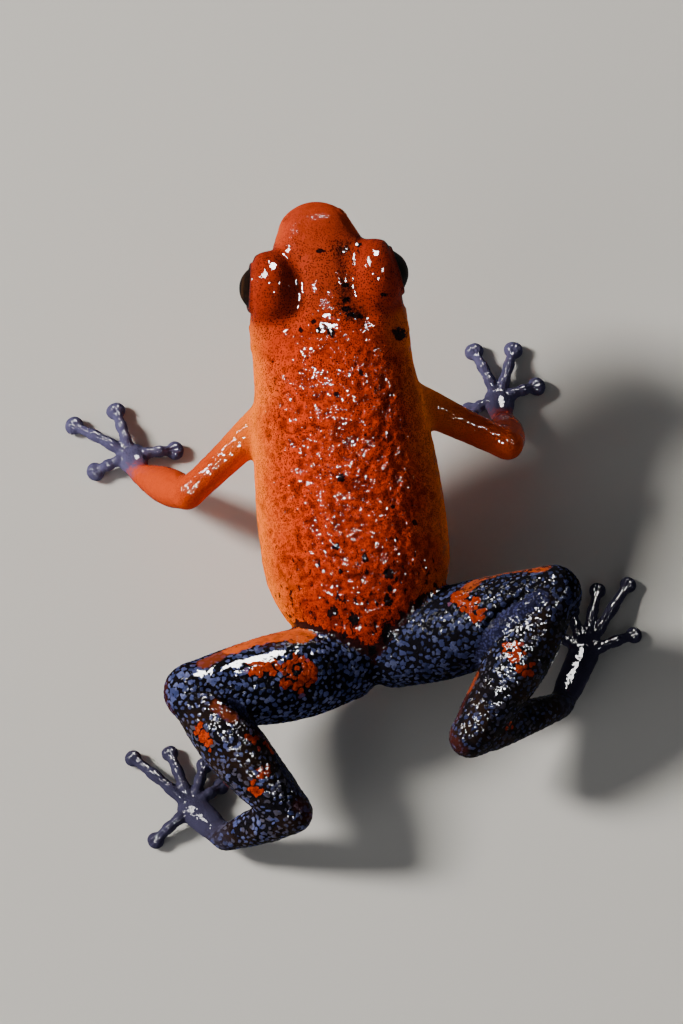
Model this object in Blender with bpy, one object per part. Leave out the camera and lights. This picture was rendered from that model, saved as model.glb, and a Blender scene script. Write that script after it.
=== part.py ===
"""A strawberry poison dart frog at life size, standing on four spread limbs with its head raised.

The frog faces -Y with its left side at +X and the floor at Z = 0. Sizes are in millimetres
while the shapes are made, and each finished mesh is brought to metres at the end.
"""
import math

import bmesh
import bpy
import numpy as np
from mathutils import Matrix, Vector

MM = 0.001
GAP = 0.3                    # clear space between two parts that touch on the animal
FLOOR = 0.0

# The trunk is measured along a body line that runs from the snout tip back to the vent.
BODY_LENGTH = 21.0
MID_BACK = 10.9              # distance behind the snout tip where the line crosses y = 0
BACK_HEIGHT = 8.4            # height of the back above the floor there
HEAD_UP = math.radians(20)   # the body line rises this much towards the head
NECK = 6.6                   # where the head meets the torso
SNOUT_ROUNDING = 0.9
VENT_ROUNDING = 1.6
SQUARENESS = 2.25            # exponent of the trunk's cross-section, 2 is an ellipse

# Half width, top and bottom of the trunk, each as (distance behind the snout tip, size).
FLANK = ((0, 1.25), (0.8, 1.55), (1.8, 2.1), (3.4, 3.0), (4.8, 3.45), (7, 3.5), (9, 3.78),
         (12, 4.08), (14.5, 4.17), (16.5, 4.03), (18.2, 3.3), (19.4, 2.35), (21, 1.0))
BACK = ((0, -1.4), (1, -1.0), (2, -0.68), (3.4, -0.4), (5, -0.45), (6.5, -0.5), (9, -0.2),
        (12, 0), (14.5, 0), (17, -0.25), (19, -0.75), (21, -1.5))
BELLY = ((0, -3.25), (1, -3.7), (3, -4.25), (5, -4.65), (7, -5.05), (9, -5.65), (12, -6.3),
         (14.5, -6.3), (17, -5.6), (19, -4.6), (21, -3.7))

EYE_RADIUS = 1.2
EYE_GAP = 0.25
EYE = (3.4, 2.5, -1.65)      # distance behind the snout tip, across, above the back line
LID_RADII = (1.8, 1.75, 1.6) # across, along, up
LID_ACROSS = 2.2
LID_OPENING = 3.35           # the lids end this far out
EYE_FORWARD = math.radians(10)
EYE_UP = math.radians(6)

MOUTH = ((0, -2.85), (1.5, -3.1), (3.4, -3.4), (4.6, -3.6), (5.4, -3.9))
LIP_RADIUS = 0.27
LIP_SUNK = 0.13
MOUTH_RADIUS = 0.11
NOSTRIL = (0.62, -1.8)       # distance behind the snout tip, above the back line
NOSTRIL_RADIUS = 0.16
EARDRUM = (5.45, -2.6)       # distance behind the snout tip, above the back line
EARDRUM_RADIUS = 0.5
EARDRUM_RIM = 0.08

# Joints of the limbs as (x, y, z), the frog's left side first.
SHOULDER = {"left": (2.7, -3.2, 5.9), "right": (-2.6, -3.3, 6.0)}
ELBOW = {"left": (7.07, -0.3, 4.5), "right": (-7.35, -0.78, 4.5)}
WRIST = {"left": (9.02, -2.85, 0.95), "right": (-7.59, -3.29, 0.95)}
KNUCKLES = {"left": (9.3, -3.95, 0.42), "right": (-7.6, -4.5, 0.42)}
FINGER_TIPS = {
    "left": ((7.31, -4.05), (9.75, -6.3), (11.71, -5.85), (11.0, -3.5)),
    "right": ((-6.2, -4.2), (-6.81, -7.06), (-8.6, -6.9), (-9.4, -5.0)),
}
HIP = {"left": (1.2, 7.8, 2.8), "right": (-1.2, 7.45, 2.8)}
KNEE = {"left": (7.94, 8.92, 4.7), "right": (-8.26, 6.6, 5.0)}
HEEL = {"left": (4.31, 14.44, 3.0), "right": (-3.84, 12.2, 3.6)}
INSTEP = {"left": (7.3, 14.65, 1.1), "right": (-8.18, 10.6, 1.4)}
TOE_BASE = {"left": (8.56, 12.9, 0.48), "right": (-9.6, 8.1, 0.48)}
TOE_TIPS = {
    "left": ((7.2, 12.0), (7.8, 10.95), (9.25, 10.2), (10.9, 10.2), (10.35, 14.1)),
    "right": ((-8.6, 6.9), (-9.4, 5.9), (-10.7, 5.1), (-12.1, 5.0), (-12.0, 7.4)),
}

# Half thickness along each limb piece, at equal steps from its upper to its lower joint.
UPPER_ARM = (0.95, 0.88, 0.76, 0.7, 0.73)
FOREARM = (0.72, 0.84, 0.82, 0.66, 0.5)
THIGH = (1.75, 1.97, 1.95, 1.7, 1.33)
SHANK = (1.15, 1.34, 1.38, 1.2, 0.97)
TARSUS = (0.92, 0.93, 0.84, 0.72, 0.62)
PALM = (0.5, 0.62, 0.72)
SOLE = (0.62, 0.66, 0.7)
PALM_FLAT = 0.66             # height of the palm and sole as a share of their width
THIGH_BOW = 0.15             # the thigh's muscle lies this far behind the straight line
CALF_BOW = 0.2
DIGIT_RADIUS = 0.3
DIGIT_ARCH = 0.2             # a digit's middle is raised this far above its tip
DIGIT_TIP_HEIGHT = 0.26
FINGER_DISC = (0.46, 0.42, 0.28)   # across, along, up
TOE_DISC = (0.4, 0.38, 0.27)

TRUNK_SIDES = 38
LIMB_SIDES = 16
DIGIT_SIDES = 8
LIMB_CAP = 3                 # rings that round off the end of a limb piece
DIGIT_CAP = 1
MERGE = 0.001                # points closer than this are one point

ORANGE = (0.62, 0.075, 0.012, 1)
HEAD_ORANGE = (0.56, 0.05, 0.012, 1)
BLUE_BLACK = (0.02, 0.03, 0.09, 1)
BLUE_GREY = (0.16, 0.18, 0.33, 1)
EYE_BLACK = (0.004, 0.004, 0.005, 1)


def clear_scene():
    for old in list(bpy.data.objects):
        bpy.data.objects.remove(old)


def along(table, at):
    """The smooth curve through a table of (distance, size), read at a distance."""
    stations, sizes = np.array(table, float).T
    slopes = np.gradient(sizes, stations)
    at = min(max(at, stations[0]), stations[-1])
    i = min(int(np.searchsorted(stations, at, side="right")) - 1, len(stations) - 2)
    span = stations[i + 1] - stations[i]
    t = (at - stations[i]) / span
    rise = sizes[i + 1] - sizes[i]
    return float(sizes[i] + t * span * slopes[i]
                 + t * t * (3 * rise - span * (2 * slopes[i] + slopes[i + 1]))
                 + t ** 3 * (span * (slopes[i] + slopes[i + 1]) - 2 * rise))


def on_body(distance, across, height):
    """The point behind the snout tip, across to the frog's left and above the back line."""
    behind = distance - MID_BACK
    return Vector((across,
                   behind * math.cos(HEAD_UP) + height * math.sin(HEAD_UP),
                   BACK_HEIGHT - behind * math.sin(HEAD_UP) + height * math.cos(HEAD_UP)))


def end_share(distance, grow):
    """How much of the full cross-section is left near the rounded snout and vent."""
    from_snout = (SNOUT_ROUNDING - distance) / (SNOUT_ROUNDING + grow)
    from_vent = (distance - BODY_LENGTH + VENT_ROUNDING) / (VENT_ROUNDING + grow)
    nearest = min(max(from_snout, from_vent, 0), 1)
    return math.sqrt(1 - nearest * nearest)


def trunk_section(distance, grow=0.0):
    """Half width, middle height, and the heights above and below the middle."""
    share = end_share(distance, grow)
    top = along(BACK, distance) + grow
    bottom = along(BELLY, distance) - grow
    middle = (top + bottom) / 2
    return (along(FLANK, distance) + grow) * share, middle, (top - middle) * share


def skin_across(distance, height, grow=0.0):
    """How far out the trunk's skin lies at a distance and height, or None past its edge."""
    half, middle, rise = trunk_section(distance, grow)
    share = abs(height - middle) / max(rise, MERGE)
    return half * (1 - share ** SQUARENESS) ** (1 / SQUARENESS) if share < 1 else None


def trunk_ring(distance, grow=0.0):
    half, middle, rise = trunk_section(distance, grow)
    ring = []
    for step in range(TRUNK_SIDES):
        angle = math.tau * step / TRUNK_SIDES
        out, up = math.cos(angle), math.sin(angle)
        out = math.copysign(abs(out) ** (2 / SQUARENESS), out)
        up = math.copysign(abs(up) ** (2 / SQUARENESS), up)
        ring.append(on_body(distance, half * out, middle + rise * up))
    return ring


def trunk_stations(grow=0.0):
    """Ring distances, set closer where the snout and the vent round off."""
    snout = [SNOUT_ROUNDING - (SNOUT_ROUNDING + grow) * math.cos(math.radians(turn))
             for turn in (14, 30, 48, 68)]
    vent = [BODY_LENGTH - VENT_ROUNDING + (VENT_ROUNDING + grow) * math.cos(math.radians(turn))
            for turn in (68, 48, 30, 14)]
    straight = np.linspace(SNOUT_ROUNDING, BODY_LENGTH - VENT_ROUNDING, 27)
    return snout + list(straight) + vent


def skin_over(rings):
    """A closed bmesh over rings of points, fanned to a point at both ends."""
    bm = bmesh.new()
    rows = [[bm.verts.new(point) for point in ring] for ring in rings]
    for near, far in zip(rows, rows[1:]):
        for i, corner in enumerate(near):
            j = (i + 1) % len(near)
            bm.faces.new((corner, near[j], far[j], far[i]))
    for row in (rows[0], rows[-1]):
        middle = sum((corner.co for corner in row), Vector()) / len(row)
        tip = bm.verts.new(middle)
        for i, corner in enumerate(row):
            bm.faces.new((corner, row[(i + 1) % len(row)], tip))
    bmesh.ops.recalc_face_normals(bm, faces=bm.faces)
    return bm


def trunk(grow=0.0):
    return skin_over([trunk_ring(distance, grow) for distance in trunk_stations(grow)])


def ball(centre, radii, turn=Matrix.Identity(3), sides=18, rows=10):
    """An ellipsoid with its poles on its own Z, turned and set at a place."""
    bm = bmesh.new()
    bmesh.ops.create_uvsphere(bm, u_segments=sides, v_segments=rows, radius=1)
    size = Matrix.Diagonal((*radii, 1))
    bm.transform(Matrix.Translation(centre) @ turn.to_4x4() @ size)
    return bm


def cut(bm, point, outward):
    """Take away what lies past a plane and close the face it leaves."""
    everything = list(bm.verts) + list(bm.edges) + list(bm.faces)
    bmesh.ops.bisect_plane(bm, geom=everything, dist=1e-5, plane_co=point,
                           plane_no=outward, clear_outer=True)
    rim = [edge for edge in bm.edges if edge.is_boundary]
    if rim:
        bmesh.ops.holes_fill(bm, edges=rim, sides=0)
    return bm


def tube(path, radii, flat=1.0, sides=LIMB_SIDES, cap=LIMB_CAP):
    """A round-ended tube along a path; flat below 1 makes it less high than wide."""
    upward = Vector((0, 0, 1))
    last = len(path) - 1
    turns = [math.radians(90 * step / (cap + 1)) for step in range(cap + 1)]
    ending = [(math.sin(turn), math.cos(turn)) for turn in turns]
    beginning = [(-ahead, share) for ahead, share in reversed(ending)]
    rings = []
    for i, centre in enumerate(path):
        heading = (path[min(i + 1, last)] - path[max(i - 1, 0)]).normalized()
        wide = heading.cross(upward).normalized()
        high = wide.cross(heading).normalized()
        steps = {0: beginning, last: ending}.get(i, [(0.0, 1.0)])
        for ahead, share in steps:
            ring = []
            for step in range(sides):
                angle = math.tau * step / sides
                across = wide * math.cos(angle) + high * math.sin(angle) * flat
                ring.append(centre + heading * ahead * radii[i] + across * radii[i] * share)
            rings.append(ring)
    return skin_over(rings)


def limb(start, end, sizes, bow=Vector(), flat=1.0, steps=9, sides=LIMB_SIDES):
    """A muscled limb piece between two joints, bowed to one side at its middle."""
    start, end = Vector(start), Vector(end)
    shares = np.linspace(0, 1, steps)
    table = list(zip(np.linspace(0, 1, len(sizes)), sizes))
    path = [start.lerp(end, t) + bow * math.sin(math.pi * t) for t in shares]
    return tube(path, [along(table, t) for t in shares], flat, sides)


def joint_plane(before, joint, after):
    """The plane that halves the bend of a joint, as its normal towards the later piece."""
    before, joint, after = Vector(before), Vector(joint), Vector(after)
    return ((after - joint).normalized() - (before - joint).normalized()).normalized()


def end_at(bm, before, joint, after):
    normal = joint_plane(before, joint, after)
    return cut(bm, Vector(joint) - normal * GAP / 2, normal)


def begin_at(bm, before, joint, after):
    normal = joint_plane(before, joint, after)
    return cut(bm, Vector(joint) + normal * GAP / 2, -normal)


def make_object(name, bm):
    """An object from a closed bmesh, with triangles and clean outward faces."""
    bmesh.ops.remove_doubles(bm, verts=bm.verts, dist=MERGE)
    bmesh.ops.triangulate(bm, faces=bm.faces)
    bmesh.ops.recalc_face_normals(bm, faces=bm.faces)
    mesh = bpy.data.meshes.new(name)
    bm.to_mesh(mesh)
    bm.free()
    made = bpy.data.objects.new(name, mesh)
    bpy.context.scene.collection.objects.link(made)
    return made


def combine(body, pieces, operation):
    """One Boolean of a body with several pieces, applied, with the pieces then removed."""
    group = bpy.data.collections.new(body.name + "_pieces")
    for number, bm in enumerate(pieces):
        group.objects.link(make_object(body.name + "_piece_" + str(number), bm))
    modifier = body.modifiers.new(operation.lower(), "BOOLEAN")
    modifier.operation = operation
    modifier.solver = "EXACT"
    modifier.operand_type = "COLLECTION"
    modifier.collection = group
    bpy.context.view_layer.update()
    seen = body.evaluated_get(bpy.context.evaluated_depsgraph_get())
    joined = bpy.data.meshes.new_from_object(seen)
    body.modifiers.clear()
    body.data = joined
    for piece in list(group.objects):
        bpy.data.objects.remove(piece)
    bpy.data.collections.remove(group)
    return body


def keep_largest(body):
    """Drop the loose scraps a cut leaves, so that the part is one closed body."""
    bm = bmesh.new()
    bm.from_mesh(body.data)
    bmesh.ops.triangulate(bm, faces=bm.faces)
    bmesh.ops.remove_doubles(bm, verts=bm.verts, dist=MERGE)
    left, islands = set(bm.faces), []
    while left:
        island, edge_faces = set(), [left.pop()]
        while edge_faces:
            face = edge_faces.pop()
            island.add(face)
            for edge in face.edges:
                for near in edge.link_faces:
                    if near in left:
                        left.remove(near)
                        edge_faces.append(near)
        islands.append(island)
    islands.sort(key=len)
    scraps = [face for island in islands[:-1] for face in island]
    bmesh.ops.delete(bm, geom=scraps, context="FACES")
    loose = [vert for vert in bm.verts if not vert.link_faces]
    bmesh.ops.delete(bm, geom=loose, context="VERTS")
    bm.to_mesh(body.data)
    bm.free()
    return body


def finish(body, colour, roughness):
    """The part's own material and smooth shading."""
    material = bpy.data.materials.new(body.name)
    material.use_nodes = True
    shader = material.node_tree.nodes["Principled BSDF"]
    shader.inputs["Base Color"].default_value = colour
    shader.inputs["Roughness"].default_value = roughness
    shader.inputs["Metallic"].default_value = 0
    body.data.materials.clear()
    body.data.materials.append(material)
    body.data.shade_smooth()
    body.data.set_sharp_from_angle(angle=math.radians(50))
    return body


def mouth_path(sink):
    """Points along the mouth line, sunk this far under the skin of the head."""
    side = []
    for distance in np.linspace(0.0, MOUTH[-1][0], 160):
        height = along(MOUTH, distance)
        across = skin_across(distance, height, -sink)
        if across is not None:
            side.append(Vector((distance, across, height)))
    front = Vector((side[0].x - 0.02, 0.0, side[0].z))
    left = [front] + side
    whole = [Vector((p.x, -p.y, p.z)) for p in reversed(side)] + left
    reach = np.concatenate(([0.0], np.cumsum([(b - a).length for a, b in zip(whole, whole[1:])])))
    spaced = np.linspace(0, reach[-1], 41)
    columns = [np.interp(spaced, reach, [point[axis] for point in whole]) for axis in range(3)]
    return [on_body(*place) for place in zip(*columns)]


def mouth_tube(sink, radius):
    """A thin tube along the mouth, tapered at its two corners."""
    path = mouth_path(sink)
    last = len(path) - 1
    radii = [radius * min(1.0, 0.45 + 0.2 * min(i, last - i)) for i in range(last + 1)]
    return tube(path, radii, sides=8, cap=DIGIT_CAP)


def eye_axis(side):
    """Outward from the eye, a little forward and up."""
    turned = Vector((side, -math.tan(EYE_FORWARD), math.tan(EYE_UP)))
    return turned.normalized()


def eye_centre(side):
    distance, across, height = EYE
    return on_body(distance, side * across, height)


def facing(axis):
    return axis.to_track_quat("Z", "Y").to_matrix()


def eardrum_rim(side):
    """A thin ring that is cut round the eardrum behind the eye."""
    distance, height = EARDRUM
    across = skin_across(distance, height)
    rim = bmesh.new()
    steps = 18
    rows = []
    for step in range(steps):
        turn = math.tau * step / steps
        ring = []
        for corner in range(6):
            angle = math.tau * corner / 6
            radius = EARDRUM_RADIUS + EARDRUM_RIM * math.cos(angle)
            out = across + EARDRUM_RIM * math.sin(angle)
            place = on_body(distance + radius * math.cos(turn), side * out,
                            height + radius * math.sin(turn))
            ring.append(rim.verts.new(place))
        rows.append(ring)
    for near, far in zip(rows, rows[1:] + rows[:1]):
        for i in range(6):
            j = (i + 1) % 6
            rim.faces.new((near[i], near[j], far[j], far[i]))
    bmesh.ops.recalc_face_normals(rim, faces=rim.faces)
    return rim


def make_head():
    """The skull with its lids and lips, then the sockets, mouth line, nostrils and eardrums."""
    body_line = on_body(1, 0, 0) - on_body(0, 0, 0)
    head = make_object("head", cut(trunk(), on_body(NECK - GAP / 2, 0, 0), body_line))
    upright = Matrix.Rotation(-HEAD_UP, 3, "X")
    raised = [mouth_tube(LIP_SUNK, LIP_RADIUS)]
    holes = [mouth_tube(-(LIP_RADIUS - LIP_SUNK), MOUTH_RADIUS)]
    for side in (1, -1):
        distance, _, height = EYE
        lid = ball(on_body(distance, side * LID_ACROSS, height), LID_RADII, upright)
        opening = on_body(distance, side * LID_OPENING, height)
        raised.append(cut(lid, opening, eye_axis(side)))
        socket = EYE_RADIUS + EYE_GAP
        holes.append(ball(eye_centre(side), (socket, socket, socket), facing(eye_axis(side))))
        pit = on_body(NOSTRIL[0], side * skin_across(*NOSTRIL), NOSTRIL[1])
        size = NOSTRIL_RADIUS
        holes.append(ball(pit, (size, size, size), sides=8, rows=6))
        holes.append(eardrum_rim(side))
    combine(head, raised, "UNION")
    combine(head, holes, "DIFFERENCE")
    return finish(keep_largest(head), HEAD_ORANGE, 0.28)


def make_torso():
    body_line = on_body(1, 0, 0) - on_body(0, 0, 0)
    torso = make_object("torso", cut(trunk(), on_body(NECK + GAP / 2, 0, 0), -body_line))
    return finish(keep_largest(torso), ORANGE, 0.3)


def make_eye(name, side):
    size = (EYE_RADIUS, EYE_RADIUS, EYE_RADIUS)
    eye = make_object(name, ball(eye_centre(side), size, facing(eye_axis(side))))
    return finish(eye, EYE_BLACK, 0.06)


def digit(start, tip, disc):
    """One finger or toe, arched between its base and the flat disc at its tip."""
    start = Vector(start)
    end = Vector((*tip, DIGIT_TIP_HEIGHT))
    steps = 7
    path = []
    for i in range(steps):
        t = i / (steps - 1)
        path.append(start.lerp(end, t) + Vector((0, 0, DIGIT_ARCH * math.sin(math.pi * t))))
    knuckle = 1.12
    radii = [DIGIT_RADIUS * (knuckle if i in (2, 4) else 1.0) for i in range(steps)]
    bone = tube(path, radii, sides=DIGIT_SIDES, cap=DIGIT_CAP)
    heading = math.atan2(end.y - start.y, end.x - start.x) - math.pi / 2
    pad = ball(end, disc, Matrix.Rotation(heading, 3, "Z"), sides=10, rows=6)
    return [bone, pad]


def rest_on_floor(body):
    """Flatten what reaches the floor, so that it stands on small flats at one level."""
    bm = bmesh.new()
    bm.from_mesh(body.data)
    cut(bm, Vector((0, 0, FLOOR)), Vector((0, 0, -1)))
    bm.to_mesh(body.data)
    bm.free()
    return body


def make_extremity(name, before, joint, base, tips, sizes, disc):
    """A hand or foot: a flat palm or sole with its digits grown into it."""
    palm = limb(joint, base, sizes, flat=PALM_FLAT, steps=5)
    body = make_object(name, begin_at(palm, before, joint, base))
    pieces = [piece for tip in tips for piece in digit(base, tip, disc)]
    combine(body, pieces, "UNION")
    rest_on_floor(body)
    return finish(keep_largest(body), BLUE_GREY, 0.35)


def make_limb(name, before, start, end, after, sizes, colour, bow=Vector()):
    """A limb piece that stops half a gap short of the joint plane at each end."""
    shape = limb(start, end, sizes, bow)
    begin_at(shape, before, start, end)
    end_at(shape, start, end, after)
    return finish(keep_largest(make_object(name, shape)), colour, 0.3)


def make_root_limb(name, start, end, after, sizes, colour, bow=Vector()):
    """An upper arm or thigh, cut clear of the trunk it grows from and of its twin."""
    shape = end_at(limb(start, end, sizes, bow), start, end, after)
    sign = math.copysign(1, end[0])
    cut(shape, Vector((sign * GAP / 2, 0, 0)), Vector((-sign, 0, 0)))
    body = combine(make_object(name, shape), [trunk(GAP)], "DIFFERENCE")
    return finish(keep_largest(body), colour, 0.3)


def make_arm(side):
    shoulder, elbow, wrist, knuckles = (place[side] for place in (SHOULDER, ELBOW, WRIST, KNUCKLES))
    make_root_limb(side + "_upper_arm", shoulder, elbow, wrist, UPPER_ARM, ORANGE)
    make_limb(side + "_forearm", shoulder, elbow, wrist, knuckles, FOREARM, ORANGE)
    make_extremity(side + "_hand", elbow, wrist, knuckles, FINGER_TIPS[side], PALM, FINGER_DISC)


def make_leg(side, sign):
    hip, knee, heel, instep, toe_base = (place[side] for place in (HIP, KNEE, HEEL, INSTEP, TOE_BASE))
    muscle = Vector((0, THIGH_BOW, 0))
    calf = Vector((sign * CALF_BOW, 0, CALF_BOW))
    make_root_limb(side + "_thigh", hip, knee, heel, THIGH, BLUE_BLACK, muscle)
    make_limb(side + "_shank", hip, knee, heel, instep, SHANK, BLUE_BLACK, calf)
    make_limb(side + "_tarsus", knee, heel, instep, toe_base, TARSUS, BLUE_BLACK)
    make_extremity(side + "_foot", heel, instep, toe_base, TOE_TIPS[side], SOLE, TOE_DISC)


def set_origin():
    """Bring the parts to metres, with the origin under the middle of their box."""
    parts = [part for part in bpy.data.objects if part.type == "MESH"]
    corners = np.array([vert.co for part in parts for vert in part.data.vertices])
    low, high = corners.min(axis=0), corners.max(axis=0)
    middle = Vector(((low[0] + high[0]) / 2, (low[1] + high[1]) / 2, low[2]))
    for part in parts:
        part.data.transform(Matrix.Scale(MM, 4) @ Matrix.Translation(-middle))


clear_scene()
make_head()
make_torso()
for side_name, side_sign in (("left", 1), ("right", -1)):
    make_eye(side_name + "_eye", side_sign)
    make_arm(side_name)
    make_leg(side_name, side_sign)
set_origin()
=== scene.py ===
# %% [markdown]
# # A strawberry poison dart frog at life size
#
# The real animal is about 21 mm long. Its back is a wet, grainy orange red, its legs are black
# with raised blue grains, and its hands and feet are a smooth lilac grey. This lesson builds
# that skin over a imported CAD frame: plain rounded forms first, then one skin over all of them,
# then folds, openings and grains, and last the paint and the gloss.

# %% Load the frame
import math

import bpy
import numpy as np
from mathutils import Matrix, Vector, kdtree


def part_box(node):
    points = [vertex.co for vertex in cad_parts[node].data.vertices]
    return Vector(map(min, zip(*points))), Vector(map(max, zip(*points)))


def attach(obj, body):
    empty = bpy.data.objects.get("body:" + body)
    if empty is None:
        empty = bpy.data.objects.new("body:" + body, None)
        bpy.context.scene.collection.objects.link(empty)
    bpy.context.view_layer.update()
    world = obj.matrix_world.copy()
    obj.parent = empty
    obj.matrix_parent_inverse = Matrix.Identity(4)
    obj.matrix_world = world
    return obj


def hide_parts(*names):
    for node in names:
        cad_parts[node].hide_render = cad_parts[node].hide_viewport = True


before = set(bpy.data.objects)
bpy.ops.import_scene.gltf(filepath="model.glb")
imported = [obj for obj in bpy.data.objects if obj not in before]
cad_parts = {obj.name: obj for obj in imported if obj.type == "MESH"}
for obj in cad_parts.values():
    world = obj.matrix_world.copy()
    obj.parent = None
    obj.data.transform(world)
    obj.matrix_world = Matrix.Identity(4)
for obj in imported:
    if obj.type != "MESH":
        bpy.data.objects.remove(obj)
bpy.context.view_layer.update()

MM = 0.001
print("frame nodes:", len(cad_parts), "quick look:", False)

# %% [markdown]
# A frog's trunk has no straight edges to measure from. So a place on it is told by how far it
# lies behind the snout tip, across to the frog's left, and above the line of the back, which
# climbs towards the head. The eyes, mouth and spots then keep their places in any pose.

# %% The body line
BODY_LENGTH = 21.0
MID_BACK = 10.9              # distance behind the snout tip where the line crosses y = 0
BACK_HEIGHT = 8.4
HEAD_UP = math.radians(20)


def body_to_room(distance, across, height):
    """Points in millimetres from distances behind the snout, across, and above the back."""
    behind = np.asarray(distance, float) - MID_BACK
    across = np.asarray(across, float) + 0 * behind
    back = behind * math.cos(HEAD_UP) + height * math.sin(HEAD_UP)
    up = BACK_HEIGHT - behind * math.sin(HEAD_UP) + height * math.cos(HEAD_UP)
    return np.stack([across, back, up], axis=-1)


def room_to_body(points):
    """The reverse: distance behind the snout, across, and height above the back line."""
    back, up = points[:, 1], points[:, 2] - BACK_HEIGHT
    distance = MID_BACK + back * math.cos(HEAD_UP) - up * math.sin(HEAD_UP)
    return distance, points[:, 0], back * math.sin(HEAD_UP) + up * math.cos(HEAD_UP)


def along(table, at):
    """The smooth curve through a table of (place, size), read at any places."""
    stations, sizes = np.array(table, float).T
    slopes = np.gradient(sizes, stations)
    at = np.clip(at, stations[0], stations[-1])
    i = np.clip(np.searchsorted(stations, at, side="right") - 1, 0, len(stations) - 2)
    span = stations[i + 1] - stations[i]
    t = (at - stations[i]) / span
    rise = sizes[i + 1] - sizes[i]
    bend = 3 * rise - span * (2 * slopes[i] + slopes[i + 1])
    twist = span * (slopes[i] + slopes[i + 1]) - 2 * rise
    return sizes[i] + t * span * slopes[i] + t ** 2 * bend + t ** 3 * twist


def fade(low, high, value):
    """0 below low and 1 above high, with a soft step between; the two may be swapped."""
    t = np.clip((value - low) / (high - low), 0, 1)
    return t * t * (3 - 2 * t)


def bell(value, width):
    return np.exp(-(value / width) ** 2)


def unit(vector):
    return vector / np.linalg.norm(vector)


# %% [markdown]
# The CAD frame stands with its middle over the origin, so the body line has to be moved there.
# The eyeball is the one solid with an exact centre, so the shift is read from it.

# %% Where the model stands
EYE_RADIUS = 1.2
EYE = (3.4, 2.5, -1.65)      # behind the snout tip, across, above the back line

low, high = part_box("left_eye")
measured = np.array((low + high) / 2) / MM
SHIFT = measured - body_to_room(*EYE)
print("shift of the frame, mm:", np.round(SHIFT, 3))

# %% [markdown]
# The photograph looks down on the frog from behind and a little to one side. Its long lens
# flattens the animal, so distance matters as much as direction. Aim, distance and lens were
# found by matching the joints of the limbs.

# %% Camera
AIM = Vector((0.55, 2.474, 7.474))
AZIMUTH, ELEVATION = math.radians(172.5), math.radians(70)
DISTANCE = 225.0             # in millimetres, as AIM
LENS = 181.14


def look_at(thing, place, aim):
    """Put a camera or a lamp in its place and turn it to the aim."""
    thing.location = place
    thing.rotation_euler = (place - aim).to_track_quat("Z", "Y").to_euler()


aim = (AIM + Vector(SHIFT)) * MM
back_to_camera = Vector((math.sin(AZIMUTH) * math.cos(ELEVATION),
                         -math.cos(AZIMUTH) * math.cos(ELEVATION),
                         math.sin(ELEVATION)))
camera = bpy.data.objects.new("camera", bpy.data.cameras.new("camera"))
camera.data.lens = LENS
camera.data.sensor_width = 36
camera.data.clip_start = 0.005
camera.data.clip_end = 20
look_at(camera, aim + back_to_camera * DISTANCE * MM, aim)
bpy.context.scene.collection.objects.link(camera)
bpy.context.scene.camera = camera

# %% [markdown]
# Wet skin is seen mostly through its highlights, but a light strong enough to give them bleaches
# the colour. So three panels light the colours and stay out of reflections, where they would lie
# as a veil. Six smaller ones show only in reflections and draw the glints: on the back, the nape,
# the lids, the arms, the front of the thighs and the far flank.

# %% Lights and room
WARM, NEUTRAL, COOL = (1.0, 0.95, 0.88), (1.0, 0.98, 0.96), (0.93, 0.96, 1.0)


def panel(name, toward, size, power, colour, glints=True, distance=0.6):
    """A square light that faces the frog from a direction, for its glints or for its colours."""
    light = bpy.data.lights.new(name, "AREA")
    light.size = size
    light.energy = power
    light.color = colour
    lamp = bpy.data.objects.new(name, light)
    lamp.visible_glossy = glints
    lamp.visible_diffuse = not glints
    look_at(lamp, aim + Vector(toward).normalized() * distance, aim)
    bpy.context.scene.collection.objects.link(lamp)


panel("key", (0.8, -0.3, 0.52), 0.12, 7.0, WARM, glints=False)
panel("soft_left", (1.0, 0.6, 0.5), 0.4, 1.1, NEUTRAL, glints=False)
panel("soft_back", (-0.5, 1.0, 0.9), 0.45, 0.22, COOL, glints=False, distance=0.7)
panel("back_glints", (0.26, 0.14, 0.95), 0.07, 6.5, COOL)
panel("nape_glints", (-0.03, 0.43, 0.9), 0.07, 5.0, COOL)
panel("lid_glints", (0.42, -0.46, 0.78), 0.14, 9.0, NEUTRAL)
panel("arm_glints", (0.68, -0.38, 0.62), 0.07, 1.8, NEUTRAL)
panel("front_glints", (-0.16, -0.75, 0.64), 0.18, 24.0, NEUTRAL)
panel("side_glints", (-0.52, 0.03, 0.86), 0.06, 1.6, COOL)

world = bpy.data.worlds.new("room")
world.use_nodes = True
surroundings = world.node_tree.nodes["Background"].inputs
surroundings["Color"].default_value = (0.86, 0.88, 0.9, 1)
surroundings["Strength"].default_value = 0.07
bpy.context.scene.world = world

# %% [markdown]
# Shaders are wired from small nodes. This helper makes a node, sets it and joins its inputs in
# one call. A value goes on the socket itself, and only what changes over the surface is wired.

# %% Helpers for materials
def paint(red, green, blue):
    """A colour mixed on the usual 0 to 255 scale, as the shader's linear light."""
    linear = [((c / 255 + 0.055) / 1.055) ** 2.4 if c > 10 else c / 255 / 12.92
              for c in (red, green, blue)]
    return (*linear, 1)


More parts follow.
